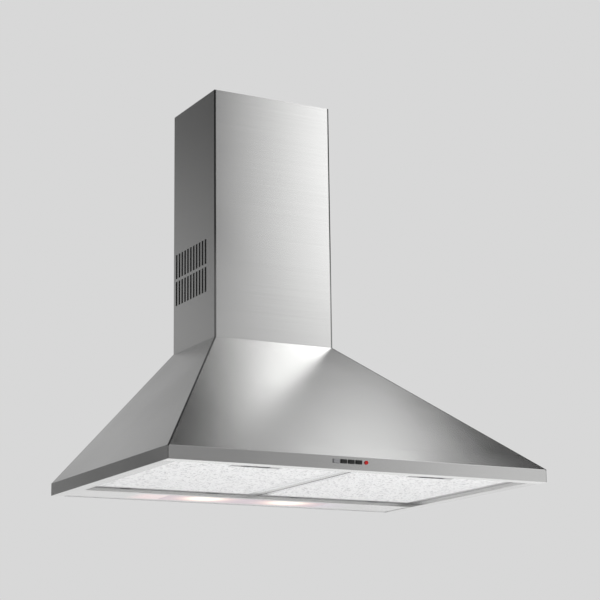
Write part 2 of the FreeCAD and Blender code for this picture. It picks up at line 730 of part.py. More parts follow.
# The clip is a strap bent round the capacitor, with an ear above it.
clip = new_body("capacitor_clip")
CLIP_FRONT = f"{CAPACITOR_FRONT} - sheet_gauge"
CLIP_TOP = f"{CAPACITOR_HIGH} + clip_ear"
CLIP_START = "(capacitor_x + clip_offset)"
pad(clip, "YZ", CLIP_START, f"{CLIP_START} + clip_width", outline([
    ("-sheet_gauge", CLIP_TOP), ("-2 * sheet_gauge", CLIP_TOP),
    ("-2 * sheet_gauge", f"{CAPACITOR_HIGH} + sheet_gauge"), (CLIP_FRONT, f"{CAPACITOR_HIGH} + sheet_gauge"),
    (CLIP_FRONT, f"{CAPACITOR_LOW} - sheet_gauge"), ("-sheet_gauge", f"{CAPACITOR_LOW} - sheet_gauge"),
    ("-sheet_gauge", CAPACITOR_LOW), (CAPACITOR_FRONT, CAPACITOR_LOW),
    (CAPACITOR_FRONT, CAPACITOR_HIGH), ("-sheet_gauge", CAPACITOR_HIGH),
]))

BOX_REAR = "-sheet_gauge"
BOX_FRONT = "(-sheet_gauge - box_depth)"
BOX_OUTLINE = ("box_left", "box_right", "box_low", "box_high")
BOSSES = [
    ("box_left + boss_inset", "box_low + boss_inset"),
    ("box_right - boss_inset", "box_high - boss_inset"),
]
GLAND_X = "(box_left + box_right) / 2"
GLAND_Y = "(-sheet_gauge - box_depth / 2)"

box = new_body("terminal_box")
pad(box, "XZ", BOX_REAR, BOX_FRONT, rectangle(*BOX_OUTLINE))
pocket(box, "XZ", f"{BOX_FRONT} - 1", f"{BOX_REAR} - box_wall",
       rectangle("box_left + box_wall", "box_right - box_wall", "box_low + box_wall", "box_high - box_wall"))
pad(box, "XZ", BOX_REAR, BOX_FRONT, *[
    box_about(f"({across})", f"({up})", "boss_side", "boss_side") for across, up in BOSSES
])
pocket(box, "XZ", f"{BOX_FRONT} - 1", f"{BOX_FRONT} + 12",
       *[polygon(across, up, "pilot_hole", 8) for across, up in BOSSES])
pocket(box, "XY", "box_high + 1", "box_high - box_wall - 1",
       polygon(GLAND_X, GLAND_Y, "gland_thread + 0.1", 8))

lid = new_body("terminal_lid")
pad(lid, "XZ", BOX_FRONT, f"{BOX_FRONT} - lid_gauge", rectangle(*BOX_OUTLINE),
    *[polygon(across, up, "pilot_hole", 8) for across, up in BOSSES])
screw_set("lid_screws", "+Y", [
    (across, f"{BOX_FRONT} - lid_gauge", up) for across, up in BOSSES
], head=(3, 2), shank=(1.45, 10))

# From the inside out: lock nut, threaded neck, body nut and clamping cap.
gland = new_body("cable_gland")
for low, high, radius, sides in (
    ("-8", "-box_wall", "gland_thread + 4", 6), ("-box_wall - 1", "1", "gland_thread", 8),
    ("0", "7", "gland_thread + 5", 6), ("6", "22", "gland_thread + 1.5", 8),
):
    pad(gland, "XY", low, high, polygon("0", "0", radius, sides))
pocket(gland, "XY", "-9", "23", circle("0", "0", "gland_bore"))
place(gland, GLAND_X, GLAND_Y, "box_high")

# ---------------------------------------------------------------- light strip

STRIP_LOW = "sheet_gauge"
STRIP_INNER = "(2 * sheet_gauge)"
TAB_REACHES = ("tab_inner_x", "tab_outer_x")

strip = new_body("light_panel")
pad(strip, "YZ", f"-{OPENING_HALF}", OPENING_HALF, outline([
    ("-strip_depth", STRIP_LOW), ("-sheet_gauge", STRIP_LOW),
    ("-sheet_gauge", "strip_rear_height"), ("-2 * sheet_gauge", "strip_rear_height"),
    ("-2 * sheet_gauge", STRIP_INNER), ("-strip_depth + sheet_gauge", STRIP_INNER),
    ("-strip_depth + sheet_gauge", "strip_front_height"), ("-strip_depth", "strip_front_height"),
]))
pocket(strip, "XY", "0", f"{STRIP_INNER} + 1", box_about("0", "lamp_y", "lamp_length", "lamp_width"))
pocket(strip, "XZ", "-strip_depth - 1", "-strip_depth + 2 * sheet_gauge", *[
    box_about(f"{side} * {reach}", "filter_low_z + 3.5", "tab_width + 4", "9")
    for side in (-1, 1) for reach in TAB_REACHES
])

cover = new_body("lamp_cover")
pad(cover, "XY", "sheet_gauge - 0.2", STRIP_INNER,
    box_about("0", "lamp_y", "lamp_length - 2 * lamp_gap", "lamp_width - 2 * lamp_gap"))
pad(cover, "XY", STRIP_INNER, f"{STRIP_INNER} + 1.5",
    box_about("0", "lamp_y", "lamp_length + 2 * lamp_lap", "lamp_width + 2 * lamp_lap"))

tray = new_body("lamp_tray")
TRAY_LENGTH = "(lamp_length + 2 * lamp_lap + tray_margin)"
TRAY_WIDTH = "(lamp_width + 2 * lamp_lap + tray_margin)"
pad(tray, "XY", STRIP_INNER, f"{STRIP_INNER} + tray_height",
    box_about("0", "lamp_y", TRAY_LENGTH, TRAY_WIDTH))
pocket(tray, "XY", f"{STRIP_INNER} - 1", f"{STRIP_INNER} + tray_height - sheet_gauge",
       box_about("0", "lamp_y", f"{TRAY_LENGTH} - 2 * sheet_gauge", f"{TRAY_WIDTH} - 2 * sheet_gauge"))

for name, turn in (("left", 180), ("right", 0)):
    holder = new_body(f"lamp_holder_{name}")
    pad(holder, "YZ", "bulb_neck_x + 12", f"{TRAY_LENGTH} / 2 - sheet_gauge",
        box_about("0", "0", "holder_side", "holder_side"))
    pocket(holder, "YZ", "bulb_neck_x + 11", "bulb_neck_x + bulb_cap_length",
           polygon("0", "0", "holder_bore", 10))
    place(holder, "0", "bulb_y", "bulb_z", turn)
    bulb = new_body(f"lamp_bulb_{name}")
    for near, far, radius in (
        ("bulb_tip_x", "bulb_tip_x + 4", "bulb_radius * 0.7"),
        ("bulb_tip_x + 4", "bulb_neck_x - 8", "bulb_radius"),
        ("bulb_neck_x - 8", "bulb_neck_x", "bulb_radius * 0.7"),
        ("bulb_neck_x", "bulb_neck_x + bulb_cap_length", "bulb_cap_radius"),
    ):
        pad(bulb, "YZ", near, far, polygon("0", "0", radius, 10))
    place(bulb, "0", "bulb_y", "bulb_z", turn)

# ---------------------------------------------------------------- grease filters

rail = new_body("filter_rail")
pad(rail, "XZ", f"-{OPENING_FRONT} - sheet_gauge", "-strip_depth", outline([
    ("-rail_width / 2", "lip_height"), ("rail_width / 2", "lip_height"),
    ("rail_width / 2", "lip_height + sheet_gauge"), ("sheet_gauge / 2", "lip_height + sheet_gauge"),
    ("sheet_gauge / 2", "lip_height + rail_height"), ("-sheet_gauge / 2", "lip_height + rail_height"),
    ("-sheet_gauge / 2", "lip_height + sheet_gauge"), ("-rail_width / 2", "lip_height + sheet_gauge"),
]))

FILTER_TOP = "(filter_low_z + filter_thickness)"
LATCH_FLOOR = "(filter_low_z + latch_plate_gauge)"


def filter_plan(side, inset):
    """The filter's plan drawn in from its edges; side is -1 for the left one."""
    near, far = f"{side} * (filter_inner_x + {inset})", f"{side} * (filter_outer_x - {inset})"
    left, right = (near, far) if side > 0 else (far, near)
    return rectangle(left, right, f"filter_front_y + {inset}", f"filter_rear_y - {inset}")


def grease_filter(name, side):
    """A channel frame round a pleated pad, with a spring latch at the front."""
    middle = f"({side} * latch_x)"

    frame = new_body(f"filter_frame_{name}")
    pad(frame, "XY", "filter_low_z", FILTER_TOP, filter_plan(side, "0"))
    pocket(frame, "XY", "filter_low_z - 1", f"{FILTER_TOP} + 1", filter_plan(side, "filter_border"))
    pocket(frame, "XY", "filter_low_z + filter_skin", f"{FILTER_TOP} - filter_skin",
           filter_plan(side, "filter_skin"))
    # Two tabs at the rear hook into slots of the light strip.
    pad(frame, "XY", "filter_low_z", "filter_low_z + 1.2", *[
        box_about(f"{side} * {reach}", "filter_rear_y + 3", "tab_width", "tab_length")
        for reach in TAB_REACHES
    ])
    # Latch plate with its window, two guide rails, and a notch for the tongue.
    pad(frame, "XY", "filter_low_z", LATCH_FLOOR,
        rectangle(f"{middle} - latch_plate_half", f"{middle} + latch_plate_half",
                  "filter_front_y + 0.4", "filter_front_y + latch_plate_depth"))
    pocket(frame, "XY", "filter_low_z - 1", f"{LATCH_FLOOR} + 1",
           rectangle(f"{middle} - window_half", f"{middle} + window_half",
                     "latch_y - well_depth / 2 - 1", "latch_y + well_depth / 2 + 7"))
    for hand in (-1, 1):
        inner, outer, lip = (
            f"{middle} + {hand} * (latch_half + guide_gap{reach})"
            for reach in ("", " + guide_gauge", " - guide_overhang")
        )
        top = f"{LATCH_FLOOR} + guide_height"
        pad(frame, "XZ", "latch_y - latch_front - 2", "latch_y + latch_rear + 8", outline([
            (inner, f"{LATCH_FLOOR} - 0.4"), (outer, f"{LATCH_FLOOR} - 0.4"), (outer, top),
            (lip, top), (lip, f"{top} - 0.8"), (inner, f"{top} - 0.8"),
        ]))
    pocket(frame, "XZ", "filter_front_y - 1", "filter_front_y + 3",
           rectangle(f"{middle} - tongue_half - 1", f"{middle} + tongue_half + 1",
                     "filter_low_z + 1.1", "filter_low_z + 4"))

    # One pleat of the mesh pad, repeated over the filter's depth.
    mesh = new_body(f"filter_mesh_{name}")
    left, right = "filter_inner_x + 1.2", "filter_outer_x - 1.2"
    if side < 0:
        left, right = f"-({right})", f"-({left})"
    low = "filter_low_z + filter_skin"
    high = f"{FILTER_TOP} - filter_skin - pleat_gauge - 0.3"
    start = "(filter_front_y + filter_skin + 0.4)"
    pitch = "(filter_rear_y - filter_front_y - 2 * filter_skin - 0.8) / pleat_count"
    first_pleat = pad(mesh, "YZ", left, right, outline([
        (start, low), (f"{start} + {pitch} / 2", high), (f"{start} + {pitch}", low),
        (f"{start} + {pitch}", f"{low} + pleat_gauge"), (f"{start} + {pitch} / 2", f"{high} + pleat_gauge"),
        (start, f"{low} + pleat_gauge"),
    ]))
    pleats = mesh.newObject("PartDesign::LinearPattern", f"{mesh.Name}_pleats")
    pleats.Originals = [first_pleat]
    pleats.Direction = (origin_of(mesh, "Y_Axis"), [""])
    pleats.setExpression("Length", bound(f"({pitch}) * (pleat_count - 1)"))
    pleats.setExpression("Occurrences", bound("pleat_count"))
    mesh.Tip = pleats
    pocket(mesh, "XY", "filter_low_z - 1", f"{FILTER_TOP} + 1",
           rectangle(f"{middle} - latch_plate_half - 2", f"{middle} + latch_plate_half + 2",
                     "filter_front_y - 1", "filter_front_y + latch_plate_depth + 4"))

    # The latch slides back over the plate; its finger well hangs in the window.
    latch = new_body(f"filter_latch_{name}")
    pad(latch, "XY", "filter_low_z + 1.4", "filter_low_z + 3.9",
        rectangle(f"{middle} - latch_half", f"{middle} + latch_half",
                  "latch_y - latch_front", "latch_y + latch_rear"))
    pad(latch, "XY", "filter_low_z + 1.5", "filter_low_z + 3.6",
        rectangle(f"{middle} - tongue_half", f"{middle} + tongue_half",
                  "filter_front_y - tongue_reach", "latch_y - latch_front + 1"))
    pad(latch, "XY", "filter_low_z + 0.2", "filter_low_z + 1.5",
        box_about(middle, "latch_y", "2 * well_half", "well_depth"))
    pocket(latch, "XY", "filter_low_z - 1", "filter_low_z + 3.1",
           box_about(middle, "latch_y", "2 * (well_half - well_wall)", "well_depth - 2 * well_wall"))


grease_filter("left", -1)
grease_filter("right", 1)

# ---------------------------------------------------------------- controls

SWITCH_FRONT = "(-hood_depth + sheet_gauge)"
switches = new_body("switch_housing")
pad(switches, "XZ", SWITCH_FRONT, f"{SWITCH_FRONT} + switch_depth",
    rectangle("switch_left", "switch_right", "switch_low", "switch_high"))
pocket(switches, "XZ", f"{SWITCH_FRONT} - 1", f"{SWITCH_FRONT} + switch_well", *[
    box_about(f"(button_first_x + {step} * button_pitch)", "button_z",
              "button_width + 0.7", "button_height + 0.7")
    for step in range(4)
])
pocket(switches, "XZ", f"{SWITCH_FRONT} - 1", f"{SWITCH_FRONT} + 12",
       polygon("pilot_x", "button_z", "pilot_radius * 1.1", 8))

for step, name in enumerate(("button_light", "button_speed_1", "button_speed_2", "button_speed_3")):
    button = new_body(name)
    shank = pad(button, "XZ", "button_length", "0", box_about("0", "0", "button_width", "button_height"))
    document.recompute()
    front = min(range(len(shank.Shape.Faces)), key=lambda index: shank.Shape.Faces[index].CenterOfMass.y)
    softened = button.newObject("PartDesign::Chamfer", f"{name}_edge")
    softened.Base = (shank, [f"Face{front + 1}"])
    softened.setExpression("Size", bound("button_chamfer"))
    place(button, f"button_first_x + {step} * button_pitch", "-hood_depth - button_stand", "button_z")

pilot = new_body("pilot_lamp")
pad(pilot, "XZ", "0", "pilot_length", circle("0", "0", "pilot_radius"))
place(pilot, "pilot_x", "-hood_depth - pilot_stand", "button_z")

# ---------------------------------------------------------------- checks and files

document.recompute()

for thing in document.Objects:
    if {"Invalid", "Error"} & set(thing.State):
        raise RuntimeError(f"{thing.Name} failed: {thing.State}")
    if thing.TypeId == "PartDesign::Pocket" and thing.Shape.Volume > thing.BaseFeature.Shape.Volume - 0.01:
        raise RuntimeError(f"{thing.Name} cuts nothing")
for thing in nodes:
    if thing.Shape.isNull() or not thing.Shape.isValid():
        raise RuntimeError(f"{thing.Label} has no valid shape")

os.makedirs("parts", exist_ok=True)
for thing in nodes:
    thing.Shape.exportStep(f"parts/{thing.Label}.step")
    extent = thing.Shape.BoundBox
    print(f"{thing.Label:24s} {len(thing.Shape.Solids)} solid(s) {thing.Shape.Volume:12.1f} mm3  "
          f"x {extent.XMin:.1f} {extent.XMax:.1f}  y {extent.YMin:.1f} {extent.YMax:.1f}  "
          f"z {extent.ZMin:.1f} {extent.ZMax:.1f}")
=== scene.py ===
from math import radians, sqrt

import bpy
from mathutils import Matrix, Vector


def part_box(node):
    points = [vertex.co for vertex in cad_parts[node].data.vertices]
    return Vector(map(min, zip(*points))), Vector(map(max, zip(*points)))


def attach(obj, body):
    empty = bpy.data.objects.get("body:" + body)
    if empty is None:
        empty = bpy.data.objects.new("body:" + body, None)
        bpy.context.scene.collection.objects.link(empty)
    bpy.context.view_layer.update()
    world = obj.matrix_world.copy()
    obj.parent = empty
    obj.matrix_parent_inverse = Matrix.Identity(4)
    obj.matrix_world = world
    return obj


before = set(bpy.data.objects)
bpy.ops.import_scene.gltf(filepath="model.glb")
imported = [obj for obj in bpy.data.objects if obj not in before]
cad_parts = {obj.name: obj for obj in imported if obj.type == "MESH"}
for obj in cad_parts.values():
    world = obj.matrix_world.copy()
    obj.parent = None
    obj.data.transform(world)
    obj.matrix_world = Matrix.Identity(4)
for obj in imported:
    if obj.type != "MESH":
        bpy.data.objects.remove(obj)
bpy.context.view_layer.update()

bpy.ops.object.select_all(action="DESELECT")

# ---- Canopy and chimney --------------------------------------------------
# Folded 1 mm stainless steel, brushed level before it is cut, so the grain
# runs across every face. The hips and corners catch less light than the
# flats, and the fold above the rim catches more.
STEEL_TONE = (0.60, 0.60, 0.595)
LEVEL_GRAIN = (2.5, 2.5, 1100)
GRAIN_DEPTH = 0.035
GRAIN_ROUGH_LOW, GRAIN_ROUGH_HIGH = 0.20, 0.25
STEEL_SHEEN = 0.4
RIM_HEIGHT = 0.023
HIP_REACH, HIP_TONE = 0.0027, 0.07
RIM_CORNER_REACH, RIM_CORNER_TONE = 0.0012, 0.45
RIM_TOP_REACH, RIM_TOP_TONE = 0.0014, 1.16
CHIMNEY_REACH, CHIMNEY_TONE_LOW, CHIMNEY_TONE_HIGH = 0.0036, 0.26, 0.03
FOLD_CHANGE_LOW, FOLD_CHANGE_HIGH = 0.40, 0.50
LIP_DEPTH = 0.0255
LIP_LIFT = 0.30


def feed(links, socket, amount):
    """Links a socket to another, or sets it to a plain number, place or colour."""
    if isinstance(amount, bpy.types.NodeSocket):
        links.new(amount, socket)
    else:
        socket.default_value = amount


def math_node(nodes, links, operation, *values):
    node = nodes.new("ShaderNodeMath")
    node.operation = operation
    for socket, amount in zip(node.inputs, values):
        feed(links, socket, amount)
    return node.outputs[0]


def vector_node(nodes, links, operation, *values):
    node = nodes.new("ShaderNodeVectorMath")
    node.operation = operation
    for socket, amount in zip(node.inputs, values):
        feed(links, socket, amount)
    return node.outputs["Value" if operation == "LENGTH" else "Vector"]


def fade(nodes, links, value, start, end, low=0.0, high=1.0, kind="LINEAR"):
    """Goes from low to high while a value goes from start to end."""
    node = nodes.new("ShaderNodeMapRange")
    node.interpolation_type = kind
    for name, amount in (("Value", value), ("From Min", start), ("From Max", end),
                         ("To Min", low), ("To Max", high)):
        feed(links, node.inputs[name], amount)
    return node.outputs["Result"]


def mixed(nodes, links, factor, first, second, kind="MIX"):
    """Two colours, mixed or multiplied."""
    node = nodes.new("ShaderNodeMix")
    node.data_type = "RGBA"
    node.blend_type = kind
    for name, amount in (("Factor", factor), ("A", first), ("B", second)):
        feed(links, node.inputs[name], amount)
    return node.outputs["Result"]


def noise(nodes, links, point, scale, detail=2.0, roughness=0.5):
    """A soft random pattern with so many blotches to the metre."""
    node = nodes.new("ShaderNodeTexNoise")
    for name, amount in (("Vector", point), ("Scale", scale), ("Detail", detail),
                         ("Roughness", roughness)):
        feed(links, node.inputs[name], amount)
    return node.outputs["Fac"]


def place_on_piece(nodes, links):
    """A point's place on the piece, whole and split into X, Y and Z."""
    place = nodes.new("ShaderNodeTexCoord").outputs["Object"]
    split = nodes.new("ShaderNodeSeparateXYZ")
    links.new(place, split.inputs[0])
    return place, split.outputs


def raise_surface(nodes, links, shader, height, strength, depth):
    """Fine relief on the surface, as deep as depth in metres."""
    relief = nodes.new("ShaderNodeBump")
    for name, amount in (("Strength", strength), ("Distance", depth), ("Height", height)):
        feed(links, relief.inputs[name], amount)
    links.new(relief.outputs["Normal"], shader.inputs["Normal"])


def start_group(name, inputs, outputs):
    """An empty node group; a socket is (name, kind, value) going in and (name, kind) coming out."""
    group = bpy.data.node_groups.new(name, "ShaderNodeTree")
    for label, kind, amount in inputs:
        socket = group.interface.new_socket(label, in_out="INPUT", socket_type=kind)
        socket.default_value = amount
    for label, kind in outputs:
        group.interface.new_socket(label, in_out="OUTPUT", socket_type=kind)
    given = group.nodes.new("NodeGroupInput").outputs
    result = group.nodes.new("NodeGroupOutput").inputs
    return group, group.nodes, group.links, given, result


def place_group(nodes, group, values):
    """Sets a node group into a material with its own values."""
    node = nodes.new("ShaderNodeGroup")
    node.node_tree = group
    for label, amount in values.items():
        node.inputs[label].default_value = amount
    return node.outputs


def brushed_grain():
    """Long scratches: a tone, a roughness and a height from a stretched noise."""
    group, nodes, links, given, result = start_group(
        "Brushed grain",
        [("Stretch", "NodeSocketVector", LEVEL_GRAIN)],
        [("Tone", "NodeSocketFloat"), ("Roughness", "NodeSocketFloat"), ("Height", "NodeSocketFloat")],
    )
    place, _ = place_on_piece(nodes, links)
    stretched = vector_node(nodes, links, "MULTIPLY", place, given["Stretch"])
    scratches = noise(nodes, links, stretched, 1.0, 5.0, 0.62)
    swing = fade(nodes, links, scratches, 0.3, 0.7, -1.0, 1.0)
    clouds = noise(nodes, links, place, 6.0)
    links.new(math_node(nodes, links, "MULTIPLY_ADD", swing, GRAIN_DEPTH, 1.0), result["Tone"])
    roughness = fade(nodes, links, clouds, 0.35, 0.65, GRAIN_ROUGH_LOW, GRAIN_ROUGH_HIGH)
    links.new(roughness, result["Roughness"])
    links.new(scratches, result["Height"])
    return group


BRUSHED_GRAIN = brushed_grain()


def main_shader(material):
    return material.node_tree.nodes["Principled BSDF"]


def start_material(name):
    """An empty node material and its main shader."""
    material = bpy.data.materials.new(name)
    material.use_nodes = True
    return material, material.node_tree.nodes, material.node_tree.links, main_shader(material)


def fold_mask(nodes, links, point, corner, way, reach):
    """One close to a straight fold through a corner, fading to nought at the reach."""
    offset = vector_node(nodes, links, "SUBTRACT", point, corner)
    across = vector_node(nodes, links, "CROSS_PRODUCT", offset, way)
    distance = vector_node(nodes, links, "LENGTH", across)
    return fade(nodes, links, distance, reach * 0.5, reach, 1.0, 0.0)


def brushed_steel(name, tone, stretch, sheen, folds=()):
    """Brushed sheet; a fold is (corner, way, reach, tone low down, tone high up), on both sides."""
    material, nodes, links, shader = start_material(name)
    grain = place_group(nodes, BRUSHED_GRAIN, {"Stretch": stretch})
    shade = grain["Tone"]
    if folds:
        _, axis = place_on_piece(nodes, links)
        right_half = nodes.new("ShaderNodeCombineXYZ")
        links.new(math_node(nodes, links, "ABSOLUTE", axis["X"]), right_half.inputs["X"])
        links.new(axis["Y"], right_half.inputs["Y"])
        links.new(axis["Z"], right_half.inputs["Z"])
    for corner, way, reach, low_tone, high_tone in folds:
        on_fold = fold_mask(nodes, links, right_half.outputs[0], corner, way, reach)
        change = fade(nodes, links, axis["Z"], FOLD_CHANGE_LOW, FOLD_CHANGE_HIGH,
                      low_tone - 1.0, high_tone - 1.0)
        darkening = math_node(nodes, links, "MULTIPLY_ADD", on_fold, change, 1.0)
        shade = math_node(nodes, links, "MULTIPLY", shade, darkening)
    links.new(mixed(nodes, links, 1.0, (*tone, 1), shade, "MULTIPLY"), shader.inputs["Base Color"])
    links.new(grain["Roughness"], shader.inputs["Roughness"])
    raise_surface(nodes, links, shader, grain["Height"], 0.03, 0.0004)
    shader.inputs["Metallic"].default_value = 1.0
    shader.inputs["Anisotropic"].default_value = sheen
    # The sheen spreads up and down each face, across the grain. The nudge
    # gives level faces, which have no level way of their own, one too.
    normal = nodes.new("ShaderNodeNewGeometry").outputs["Normal"]
    level_way = vector_node(nodes, links, "CROSS_PRODUCT", normal, (0, 0, 1))
    nudged = vector_node(nodes, links, "ADD", level_way, (0.002, 0, 0))
    links.new(vector_node(nodes, links, "CROSS_PRODUCT", normal, nudged), shader.inputs["Tangent"])
    return material


def brighten_lip(material, lip_rear):
    """The underside of the front lip shows brighter than the rest of the steel."""
    nodes, links = material.node_tree.nodes, material.node_tree.links
    colour = main_shader(material).inputs["Base Color"]
    facing = nodes.new("ShaderNodeSeparateXYZ")
    links.new(nodes.new("ShaderNodeNewGeometry").outputs["Normal"], facing.inputs[0])
    _, axis = place_on_piece(nodes, links)
    downward = math_node(nodes, links, "LESS_THAN", facing.outputs["Z"], -0.5)
    in_front = math_node(nodes, links, "LESS_THAN", axis["Y"], lip_rear)
    on_lip = math_node(nodes, links, "MULTIPLY", downward, in_front)
    lifted = math_node(nodes, links, "MULTIPLY_ADD", on_lip, LIP_LIFT, 1.0)
    links.new(mixed(nodes, links, 1.0, colour.links[0].from_socket, lifted, "MULTIPLY"), colour)


def dress(material, *names):
    """Puts a material on nodes of the frame."""
    for name in names:
        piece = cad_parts[name]
        piece.data.materials.clear()
        piece.data.materials.append(material)


canopy_low, canopy_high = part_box("canopy_shell")
chimney_low, chimney_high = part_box("chimney_lower")
rim_corner = Vector((canopy_high.x, canopy_low.y, RIM_HEIGHT))
chimney_corner = Vector((chimney_high.x, chimney_low.y, chimney_low.z))
hip_way = (chimney_corner - rim_corner).normalized()
upward = Vector((0, 0, 1))
sideways = Vector((1, 0, 0))
canopy_steel = brushed_steel("Canopy steel", STEEL_TONE, LEVEL_GRAIN, STEEL_SHEEN, [
    (rim_corner, hip_way, HIP_REACH, HIP_TONE, HIP_TONE),
    (rim_corner, upward, RIM_CORNER_REACH, RIM_CORNER_TONE, RIM_CORNER_TONE),
    (rim_corner, sideways, RIM_TOP_REACH, RIM_TOP_TONE, RIM_TOP_TONE),
])
brighten_lip(canopy_steel, canopy_low.y + LIP_DEPTH)
chimney_steel = brushed_steel("Chimney steel", STEEL_TONE, LEVEL_GRAIN, STEEL_SHEEN, [
    (chimney_corner, upward, CHIMNEY_REACH, CHIMNEY_TONE_LOW, CHIMNEY_TONE_HIGH),
])
dress(canopy_steel, "canopy_shell")
dress(chimney_steel, "chimney_lower", "chimney_upper")

# ---- Filter rail ---------------------------------------------------------
# A folded channel of the same steel between the two grease filters. It is
# cut across the brushing, so its grain runs from side to side of the hood.
UNDERSIDE_GRAIN = (2.5, 900, 2.5)
dress(brushed_steel("Underside steel", STEEL_TONE, UNDERSIDE_GRAIN, STEEL_SHEEN), "filter_rail")

# ---- Back panel, plate, brackets and lamp tray ---------------------------
# Galvanised sheet, left bare because it faces the wall or stays inside:
# a dull grey with the large soft spangle that the zinc bath leaves. The
# sheared lower edge shows bright.
ZINC_DARK = (0.36, 0.38, 0.39, 1)
ZINC_LIGHT = (0.56, 0.58, 0.59, 1)
ZINC_EDGE = (0.93, 0.93, 0.93, 1)
EDGE_LEVEL = 0.0013
SPANGLES_TO_THE_METRE = 85.0


def random_patches(nodes, links, point, to_the_metre):
    """Random patches: values that are flat over each patch, and the distance from its middle."""
    patches = nodes.new("ShaderNodeTexVoronoi")
    feed(links, patches.inputs["Scale"], to_the_metre)
    links.new(point, patches.inputs["Vector"])
    chance = nodes.new("ShaderNodeSeparateColor")
    links.new(patches.outputs["Color"], chance.inputs["Color"])
    return chance.outputs, patches.outputs["Distance"]


def galvanised():
    material, nodes, links, shader = start_material("Galvanised sheet")
    place, axis = place_on_piece(nodes, links)
    chance, _ = random_patches(nodes, links, place, SPANGLES_TO_THE_METRE)
    spangle = mixed(nodes, links, chance["Red"], ZINC_DARK, ZINC_LIGHT)
    on_edge = math_node(nodes, links, "LESS_THAN", axis["Z"], EDGE_LEVEL)
    links.new(mixed(nodes, links, on_edge, spangle, ZINC_EDGE), shader.inputs["Base Color"])
    links.new(fade(nodes, links, chance["Green"], 0.0, 1.0, 0.38, 0.58), shader.inputs["Roughness"])
    shader.inputs["Metallic"].default_value = 0.9
    return material


dress(galvanised(), "back_panel", "blower_plate", "chimney_bracket_lower", "chimney_bracket_upper",
      "motor_bracket", "capacitor_clip", "lamp_tray")

# ---- Screws, spindle and shaft -------------------------------------------
# Turned and rolled steel with bright zinc plate, under which fine upright
# tool marks still show.
PLATED_TONE = (0.66, 0.65, 0.61)
TOOL_MARKS = (900, 900, 40)
dress(brushed_steel("Plated steel", PLATED_TONE, TOOL_MARKS, 0.0),
      "blower_screws", "collar_screws", "motor_screws", "lid_screws", "flap_spindle", "motor_shaft")

# ---- Moulded pieces ------------------------------------------------------
# Injection-moulded plastic: blower housing, wheel, collar, flaps, terminal
# box, capacitor can, gland, lamp holders and switch housing, each with the
# fine grain that spark erosion leaves in the mould.


def moulded_grain():
    """A faint mottle of the colour and the fine grain of the mould."""
    group, nodes, links, given, result = start_group(
        "Moulded grain",
        [("Colour", "NodeSocketColor", (0.5, 0.5, 0.5, 1)), ("Mottle", "NodeSocketFloat", 0.10)],
        [("Colour", "NodeSocketColor"), ("Height", "NodeSocketFloat")],
    )
    place, _ = place_on_piece(nodes, links)
    mottle = noise(nodes, links, place, 40.0, 4.0)
    darkest = math_node(nodes, links, "SUBTRACT", 1.0, given["Mottle"])
    lightest = math_node(nodes, links, "ADD", 1.0, given["Mottle"])
    shift = fade(nodes, links, mottle, 0.0, 1.0, darkest, lightest)
    links.new(mixed(nodes, links, 1.0, given["Colour"], shift, "MULTIPLY"), result["Colour"])
    links.new(noise(nodes, links, place, 1800.0), result["Height"])
    return group


MOULDED_GRAIN = moulded_grain()


def moulded(name, colour, roughness, mottle=0.10):
    """Coloured plastic, or a casting, from a mould."""
    material, nodes, links, shader = start_material(name)
    grain = place_group(nodes, MOULDED_GRAIN, {"Colour": (*colour, 1), "Mottle": mottle})
    links.new(grain["Colour"], shader.inputs["Base Color"])
    raise_surface(nodes, links, shader, grain["Height"], 0.12, 0.0002)
    shader.inputs["Roughness"].default_value = roughness
    return material


dress(moulded("Black plastic", (0.030, 0.030, 0.032), 0.48),
      "outlet_collar", "flap_front", "flap_rear", "blower_housing", "cable_gland", "switch_housing")
dress(moulded("Grey plastic", (0.14, 0.14, 0.15), 0.42), "impeller")
dress(moulded("White plastic", (0.72, 0.71, 0.68), 0.45, 0.03),
      "terminal_box", "terminal_lid", "capacitor", "lamp_holder_left", "lamp_holder_right")

# ---- Motor ---------------------------------------------------------------
# A die-cast aluminium motor can hanging in the right-hand inlet: matte,
# with the fine pebbled skin of the casting.
motor_casting = moulded("Motor casting", (0.42, 0.42, 0.43), 0.5, 0.08)
main_shader(motor_casting).inputs["Metallic"].default_value = 0.85
dress(motor_casting, "motor_body")

# ---- Lamp cover ----------------------------------------------------------
# An opal plastic strip in front of two candle bulbs. It glows near white over
# each bulb, warm round it, and faintly pink and violet further out.
GLOW_X, GLOW_Y = 0.088, -0.062
GLOW_LENGTH, GLOW_WIDTH = 0.042, 0.034
GLOW_COLOURS = (
    (0.0, (0.30, 0.24, 0.27, 1)),
    (0.25, (0.50, 0.37, 0.35, 1)),
    (0.85, (0.95, 0.90, 0.74, 1)),
)
OPAL_DARK = (0.30, 0.28, 0.29, 1)
OPAL_LIGHT = (0.35, 0.33, 0.34, 1)


def colour_ramp(nodes, links, value, stops):
    """Colours along a value; a stop is (value, colour)."""
    node = nodes.new("ShaderNodeValToRGB")
    elements = node.color_ramp.elements
    elements[0].position, elements[0].color = stops[0]
    elements[1].position, elements[1].color = stops[-1]
    for position, colour in stops[1:-1]:
        elements.new(position).color = colour
    links.new(value, node.inputs["Fac"])
    return node.outputs["Color"]


